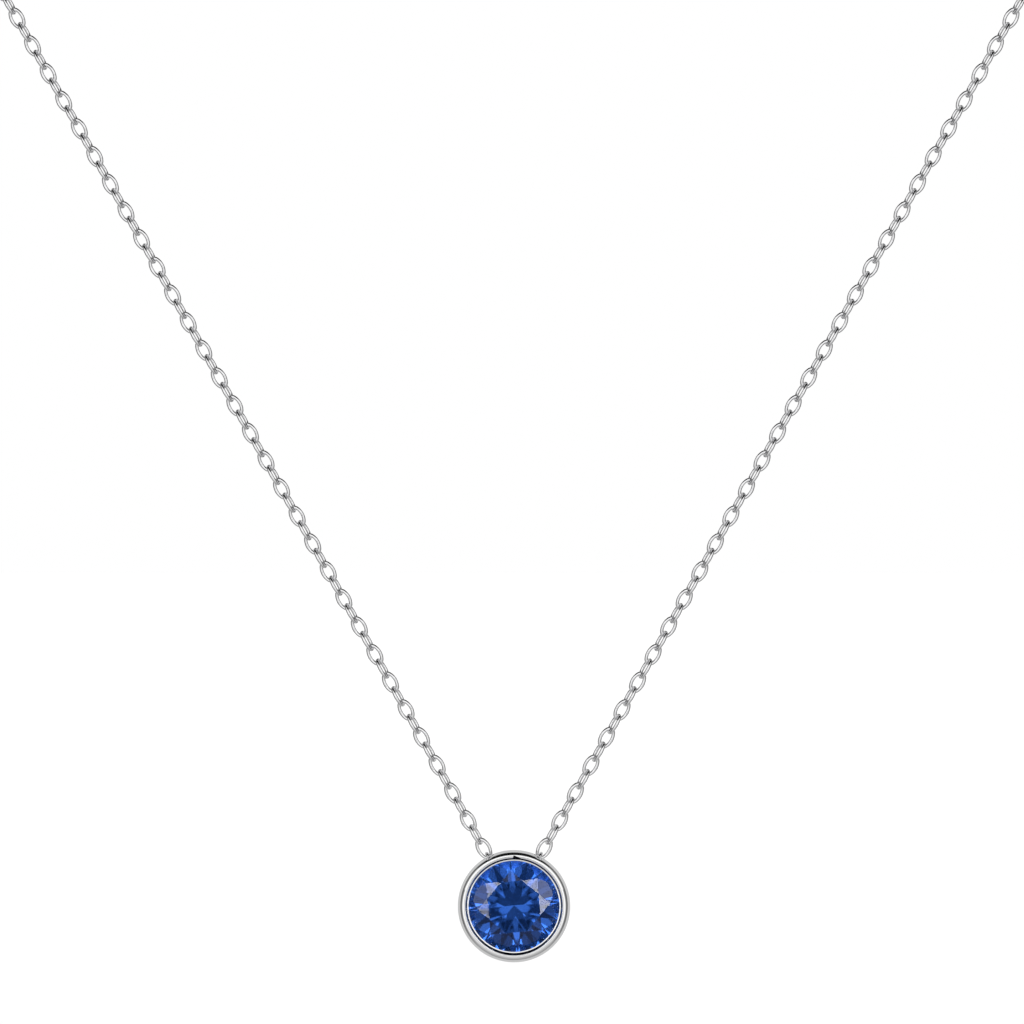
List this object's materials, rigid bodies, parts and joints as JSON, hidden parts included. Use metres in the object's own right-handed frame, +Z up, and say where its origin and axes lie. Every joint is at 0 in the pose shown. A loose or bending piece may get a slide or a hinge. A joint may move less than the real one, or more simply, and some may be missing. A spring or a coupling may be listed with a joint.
{
  "type": "pendant necklace",
  "caption": "Fine cable chain necklace with a round faceted blue stone pendant in a heavy smooth bezel, hung from two small side loops, closed by a spring ring.",
  "frame": {"origin": "middle of the neck opening, on the neck's axis, at the height where the two front arms begin to hang", "axes": "+Z up along the neck, the wearer faces -Y, +X to the right of a viewer who looks along +Y"},
  "size_m": [0.1167, 0.0851, 0.1195],
  "materials": {
    "chain_metal": "polished sterling silver wire",
    "bezel_metal": "polished sterling silver",
    "clasp_metal": "polished sterling silver",
    "spring_metal": "drawn spring steel wire",
    "stone": "polished sapphire-blue gemstone, faceted"
  },
  "bodies": {
    "neck_chain": {"left_shoulder_links": "chain_metal", "left_nape_links": "chain_metal", "right_shoulder_links": "chain_metal", "right_nape_links": "chain_metal"},
    "upper_arms": {"left_upper_links": "chain_metal", "right_upper_links": "chain_metal"},
    "middle_arms": {"left_middle_links": "chain_metal", "right_middle_links": "chain_metal"},
    "lower_arms": {"left_lower_links": "chain_metal", "right_lower_links": "chain_metal"},
    "pendant": {"bezel_frame": "bezel_metal", "bezel_collar": "bezel_metal", "stone_seat": "bezel_metal", "blue_stone": "stone", "left_bail_loop": "chain_metal", "right_bail_loop": "chain_metal"},
    "clasp": {"clasp_ring": "clasp_metal", "clasp_eye": "clasp_metal", "clasp_spring": "spring_metal"},
    "bolt": {"clasp_bolt": "clasp_metal", "clasp_knob": "clasp_metal"},
    "left_ring": {"left_jump_ring": "chain_metal"},
    "right_ring": {"right_jump_ring": "chain_metal"},
    "tag": {"catch_tag": "clasp_metal"}
  },
  "joints": [
    {"name": "upper_drop", "type": "hinge", "parent": "neck_chain", "child": "upper_arms", "pos_m": [0, -0.04, 0], "axis": [1, 0, 0], "range_deg": [-20, 20]},
    {"name": "middle_drop", "type": "hinge", "parent": "upper_arms", "child": "middle_arms", "pos_m": [0, -0.04, -0.02518], "axis": [1, 0, 0], "range_deg": [-20, 20]},
    {"name": "lower_drop", "type": "hinge", "parent": "middle_arms", "child": "lower_arms", "pos_m": [0, -0.04, -0.05036], "axis": [1, 0, 0], "range_deg": [-20, 20]},
    {"name": "pendant_swing", "type": "hinge", "parent": "lower_arms", "child": "pendant", "pos_m": [0, -0.04, -0.07553], "axis": [1, 0, 0], "range_deg": [-15, 50]},
    {"name": "clasp_turn", "type": "hinge", "parent": "neck_chain", "child": "clasp", "pos_m": [0, 0.042, 0.03], "axis": [1, 0, 0], "range_deg": [-15, 15]},
    {"name": "bolt_slide", "type": "hinge", "parent": "clasp", "child": "bolt", "pos_m": [0, 0.042, 0.03], "axis": [0, -1, 0], "range_deg": [0, 44], "stiffness_Nm_per_rad": 0.003, "springref_deg": -21.77},
    {"name": "left_ring_turn", "type": "hinge", "parent": "neck_chain", "child": "left_ring", "pos_m": [-0.00477, 0.042, 0.03], "axis": [1, 0, 0], "range_deg": [-10, 10]},
    {"name": "right_ring_turn", "type": "hinge", "parent": "neck_chain", "child": "right_ring", "pos_m": [0.00682, 0.042, 0.03], "axis": [1, 0, 0], "range_deg": [-10, 10]},
    {"name": "tag_turn", "type": "hinge", "parent": "neck_chain", "child": "tag", "pos_m": [0.00421, 0.042, 0.03], "axis": [1, 0, 0], "range_deg": [-10, 10]}
  ]
}
